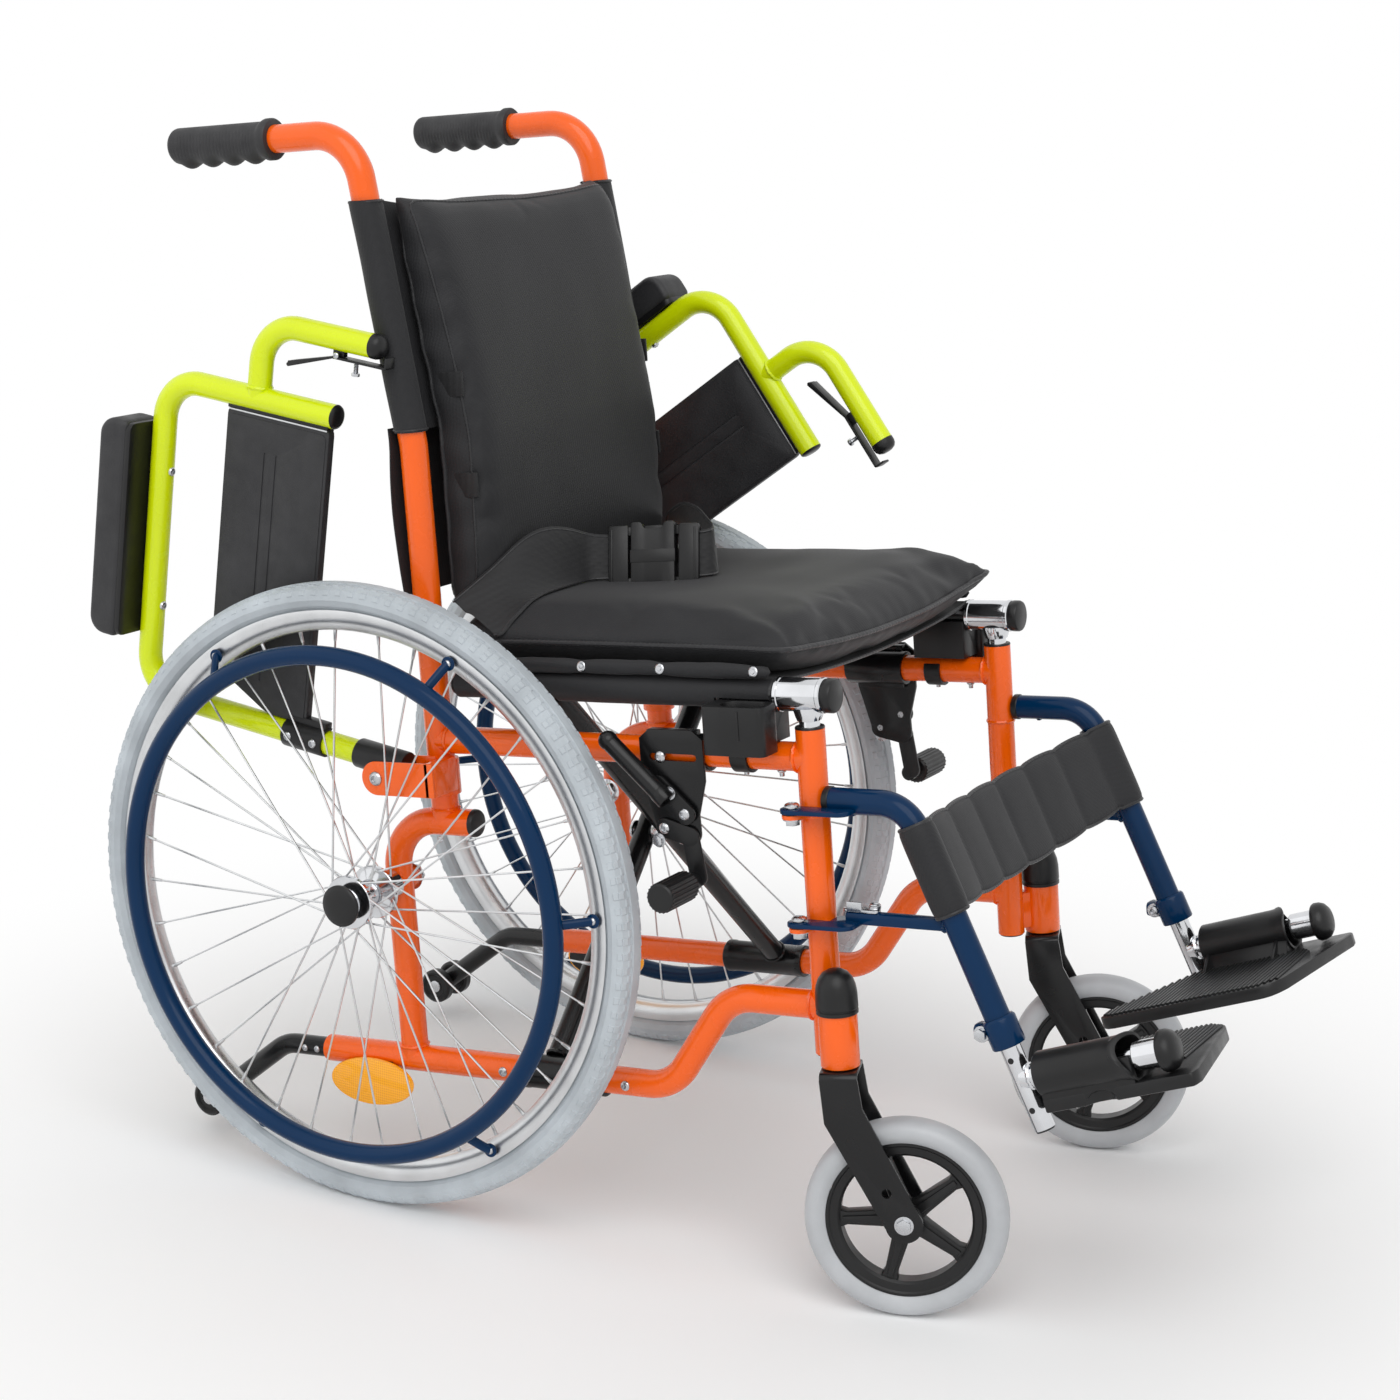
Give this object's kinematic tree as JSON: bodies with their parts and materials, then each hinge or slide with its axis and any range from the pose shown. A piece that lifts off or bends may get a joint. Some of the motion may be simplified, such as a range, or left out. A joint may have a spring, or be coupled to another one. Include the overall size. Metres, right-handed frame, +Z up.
{
  "type": "pediatric wheelchair",
  "caption": "Folding child's wheelchair: cross-braced frame, spoked rear wheels with handrims, front casters, flip-back armrests, swing-away legrests, padded seat and back.",
  "frame": {"origin": "middle of the chair's bounding box in plan, at floor level", "axes": "+Z up, +Y to the rear of the chair, +X to the chair's left; the chair faces -Y"},
  "size_m": [0.598, 1.0884, 0.9677],
  "materials": {
    "orange_paint": "gloss paint",
    "navy_paint": "gloss paint",
    "yellow_paint": "gloss paint",
    "chrome": "polished chrome",
    "silver_rim": "satin aluminium",
    "grey_tyre": "non-marking grey rubber",
    "caster_tyre": "solid light grey polyurethane",
    "black_plastic": "satin moulded plastic",
    "black_metal": "black powder coat",
    "grip_rubber": "soft black rubber",
    "nylon": "charcoal woven nylon"
  },
  "bodies": {
    "frame_right": {"side_frame_right": "orange_paint", "grip_right": "grip_rubber", "saddle_right": "black_plastic", "brake_bracket_right": "black_metal", "anti_tip_tube_right": "black_metal", "axle_right": "chrome", "back_sling": "nylon", "back_pad": "nylon"},
    "frame_left": {"side_frame_left": "orange_paint", "grip_left": "grip_rubber", "saddle_left": "black_plastic", "brake_bracket_left": "black_metal", "anti_tip_tube_left": "black_metal", "axle_left": "chrome"},
    "cross_brace_a": {"brace_a": "black_metal"},
    "cross_brace_b": {"brace_b": "black_metal"},
    "seat_right": {"seat_guide_right": "chrome", "seat_sling": "nylon", "seat_cushion": "nylon", "lap_belt_right": "nylon", "lap_belt_left": "nylon"},
    "seat_left": {"seat_guide_left": "chrome"},
    "belt_buckle": {"buckle": "black_plastic"},
    "rear_wheel_right": {"wheel_right": "silver_rim", "tyre_right": "grey_tyre", "handrim_right": "navy_paint"},
    "rear_wheel_left": {"wheel_left": "silver_rim", "tyre_left": "grey_tyre", "handrim_left": "navy_paint"},
    "caster_fork_right": {"fork_right": "black_metal"},
    "caster_fork_left": {"fork_left": "black_metal"},
    "caster_wheel_right": {"caster_rim_right": "black_plastic", "caster_tyre_right": "caster_tyre"},
    "caster_wheel_left": {"caster_rim_left": "black_plastic", "caster_tyre_left": "caster_tyre"},
    "anti_tip_right": {"anti_tip_wheels_right": "black_plastic"},
    "anti_tip_left": {"anti_tip_wheels_left": "black_plastic"},
    "armrest_right": {"arm_frame_right": "yellow_paint", "arm_pad_right": "black_plastic", "arm_panel_right": "black_plastic"},
    "armrest_left": {"arm_frame_left": "yellow_paint", "arm_pad_left": "black_plastic", "arm_panel_left": "black_plastic"},
    "armrest_catch_right": {"arm_catch_right": "black_metal"},
    "armrest_catch_left": {"arm_catch_left": "black_metal"},
    "brake_handle_right": {"brake_lever_right": "black_plastic"},
    "brake_handle_left": {"brake_lever_left": "black_plastic"},
    "brake_shoe_right": {"brake_shoe_arm_right": "black_metal"},
    "brake_shoe_left": {"brake_shoe_arm_left": "black_metal"},
    "legrest_right": {"hanger_right": "navy_paint", "calf_strap": "nylon"},
    "legrest_left": {"hanger_left": "navy_paint"},
    "legrest_latch_right": {"hanger_latch_right": "chrome"},
    "legrest_latch_left": {"hanger_latch_left": "chrome"},
    "foot_tube_right": {"foot_stem_right": "chrome"},
    "foot_tube_left": {"foot_stem_left": "chrome"},
    "foot_spigot_right": {"foot_pin_right": "chrome"},
    "foot_spigot_left": {"foot_pin_left": "chrome"},
    "foot_rest_right": {"footplate_right": "black_plastic"},
    "foot_rest_left": {"footplate_left": "black_plastic"}
  },
  "joints": [
    {"name": "fold", "type": "hinge", "parent": "frame_right", "child": "cross_brace_a", "pos_m": [-0.192, 0.06602, 0.13562], "axis": [0, -0.994, 0.1097], "range_deg": [0, 36.5], "deforming": ["seat_sling", "seat_cushion", "back_sling", "back_pad", "calf_strap", "lap_belt_right", "lap_belt_left"]},
    {"name": "brace_cross", "type": "hinge", "parent": "cross_brace_a", "child": "cross_brace_b", "pos_m": [0, 0.05678, 0.31622], "axis": [0, -0.994, 0.1097], "range_deg": [-73, 0]},
    {"name": "left_frame_swing", "type": "hinge", "parent": "cross_brace_b", "child": "frame_left", "pos_m": [0.192, 0.06602, 0.13562], "axis": [0, -0.994, 0.1097], "range_deg": [0, 36.5]},
    {"name": "seat_right_swing", "type": "hinge", "parent": "cross_brace_b", "child": "seat_right", "pos_m": [-0.192, -0.17808, 0.52174], "axis": [0, -0.994, 0.1097], "range_deg": [0, 36.5]},
    {"name": "seat_left_swing", "type": "hinge", "parent": "cross_brace_a", "child": "seat_left", "pos_m": [0.192, -0.17808, 0.52174], "axis": [0, -0.994, 0.1097], "range_deg": [-36.5, 0]},
    {"name": "buckle_shift", "type": "slide", "parent": "seat_right", "child": "belt_buckle", "axis": [-1, 0, 0], "range_m": [0, 0.115]},
    {"name": "wheel_spin_right", "type": "hinge", "parent": "frame_right", "child": "rear_wheel_right", "pos_m": [-0.251, 0.23366, 0.28714], "axis": [1, 0, 0], "continuous": true},
    {"name": "wheel_spin_left", "type": "hinge", "parent": "frame_left", "child": "rear_wheel_left", "pos_m": [0.251, 0.23366, 0.28714], "axis": [1, 0, 0], "continuous": true},
    {"name": "caster_swivel_right", "type": "hinge", "parent": "frame_right", "child": "caster_fork_right", "pos_m": [-0.2165, -0.23413, 0.21453], "axis": [0, 0.1097, 0.994], "continuous": true},
    {"name": "caster_swivel_left", "type": "hinge", "parent": "frame_left", "child": "caster_fork_left", "pos_m": [0.2165, -0.23413, 0.21453], "axis": [0, 0.1097, 0.994], "continuous": true},
    {"name": "caster_spin_right", "type": "hinge", "parent": "caster_fork_right", "child": "caster_wheel_right", "pos_m": [-0.20034, -0.29415, 0.08664], "axis": [0.9426, 0.3318, -0.0366], "continuous": true},
    {"name": "caster_spin_left", "type": "hinge", "parent": "caster_fork_left", "child": "caster_wheel_left", "pos_m": [0.23266, -0.29415, 0.08664], "axis": [0.9426, 0.3318, -0.0366], "continuous": true},
    {"name": "anti_tip_spin_right", "type": "hinge", "parent": "frame_right", "child": "anti_tip_right", "pos_m": [-0.192, 0.44332, 0.03561], "axis": [1, 0, 0], "continuous": true},
    {"name": "anti_tip_spin_left", "type": "hinge", "parent": "frame_left", "child": "anti_tip_left", "pos_m": [0.192, 0.44332, 0.03561], "axis": [1, 0, 0], "continuous": true},
    {"name": "armrest_flip_right", "type": "hinge", "parent": "frame_right", "child": "armrest_right", "pos_m": [-0.219, 0.22963, 0.39463], "axis": [1, 0, 0], "range_deg": [0, 77.8]},
    {"name": "armrest_flip_left", "type": "hinge", "parent": "frame_left", "child": "armrest_left", "pos_m": [0.219, 0.22963, 0.39463], "axis": [1, 0, 0], "range_deg": [-46.3, 31.5]},
    {"name": "armrest_catch_right_pull", "type": "hinge", "parent": "armrest_right", "child": "armrest_catch_right", "pos_m": [-0.219, 0.27955, 0.76764], "axis": [1, 0, 0], "range_deg": [0, 8], "stiffness_Nm_per_rad": 0.15},
    {"name": "armrest_catch_left_pull", "type": "hinge", "parent": "armrest_left", "child": "armrest_catch_left", "pos_m": [0.219, -0.00555, 0.68843], "axis": [1, 0, 0], "range_deg": [0, 8], "stiffness_Nm_per_rad": 0.15},
    {"name": "brake_lever_right_push", "type": "hinge", "parent": "frame_right", "child": "brake_handle_right", "pos_m": [-0.22, -0.07732, 0.40739], "axis": [1, 0, 0], "range_deg": [0, 50]},
    {"name": "brake_lever_left_push", "type": "hinge", "parent": "frame_left", "child": "brake_handle_left", "pos_m": [0.22, -0.07732, 0.40739], "axis": [1, 0, 0], "range_deg": [0, 50]},
    {"name": "brake_shoe_right_swing", "type": "hinge", "parent": "frame_right", "child": "brake_shoe_right", "pos_m": [-0.212, -0.0561, 0.39096], "axis": [1, 0, 0], "range_deg": [0, 27.5]},
    {"name": "brake_shoe_left_swing", "type": "hinge", "parent": "frame_left", "child": "brake_shoe_left", "pos_m": [0.212, -0.0561, 0.39096], "axis": [1, 0, 0], "range_deg": [0, 27.5]},
    {"name": "legrest_swing_right", "type": "hinge", "parent": "frame_right", "child": "legrest_right", "pos_m": [-0.214, -0.1778, 0.43317], "axis": [0, -0.1097, -0.994], "range_deg": [0, 90]},
    {"name": "legrest_swing_left", "type": "hinge", "parent": "frame_left", "child": "legrest_left", "pos_m": [0.214, -0.1778, 0.43317], "axis": [0, 0.1097, 0.994], "range_deg": [0, 90]},
    {"name": "legrest_latch_right_press", "type": "hinge", "parent": "legrest_right", "child": "legrest_latch_right", "pos_m": [-0.196, -0.25029, 0.3461], "axis": [0, 0.1097, 0.994], "range_deg": [0, 15], "stiffness_Nm_per_rad": 0.05},
    {"name": "legrest_latch_left_press", "type": "hinge", "parent": "legrest_left", "child": "legrest_latch_left", "pos_m": [0.196, -0.25029, 0.3461], "axis": [0, -0.1097, -0.994], "range_deg": [0, 15], "stiffness_Nm_per_rad": 0.05},
    {"name": "foot_height_right", "type": "slide", "parent": "legrest_right", "child": "foot_tube_right", "axis": [0, -0.4802, -0.8771], "range_m": [0, 0.06]},
    {"name": "foot_height_left", "type": "slide", "parent": "legrest_left", "child": "foot_tube_left", "axis": [0, -0.4802, -0.8771], "range_m": [0, 0.06]},
    {"name": "foot_spigot_right_turn", "type": "hinge", "parent": "foot_tube_right", "child": "foot_spigot_right", "pos_m": [-0.196, -0.3909, 0.23011], "axis": [0, -0.9252, 0.3795], "range_deg": [0, 90]},
    {"name": "foot_spigot_left_turn", "type": "hinge", "parent": "foot_tube_left", "child": "foot_spigot_left", "pos_m": [0.196, -0.3909, 0.23011], "axis": [0, 0.9252, -0.3795], "range_deg": [0, 90]},
    {"name": "footplate_flip_right", "type": "hinge", "parent": "foot_spigot_right", "child": "foot_rest_right", "pos_m": [-0.196, -0.3909, 0.23011], "axis": [0, -0.9252, 0.3795], "range_deg": [0, 90]},
    {"name": "footplate_flip_left", "type": "hinge", "parent": "foot_spigot_left", "child": "foot_rest_left", "pos_m": [0.196, -0.3909, 0.23011], "axis": [0, 0.9252, -0.3795], "range_deg": [0, 90]}
  ],
  "couplings": [
    {"joint": "brace_cross", "follows": "fold", "ratio": -2},
    {"joint": "left_frame_swing", "follows": "fold", "ratio": 1},
    {"joint": "seat_right_swing", "follows": "fold", "ratio": 1},
    {"joint": "seat_left_swing", "follows": "fold", "ratio": -1},
    {"joint": "buckle_shift", "follows": "fold", "m_per_rad": 0.18},
    {"joint": "foot_spigot_right_turn", "follows": "fold", "ratio": 2.465},
    {"joint": "foot_spigot_left_turn", "follows": "fold", "ratio": 2.465},
    {"joint": "brake_shoe_right_swing", "follows": "brake_lever_right_push", "ratio": 0.55},
    {"joint": "brake_shoe_left_swing", "follows": "brake_lever_left_push", "ratio": 0.55}
  ]
}
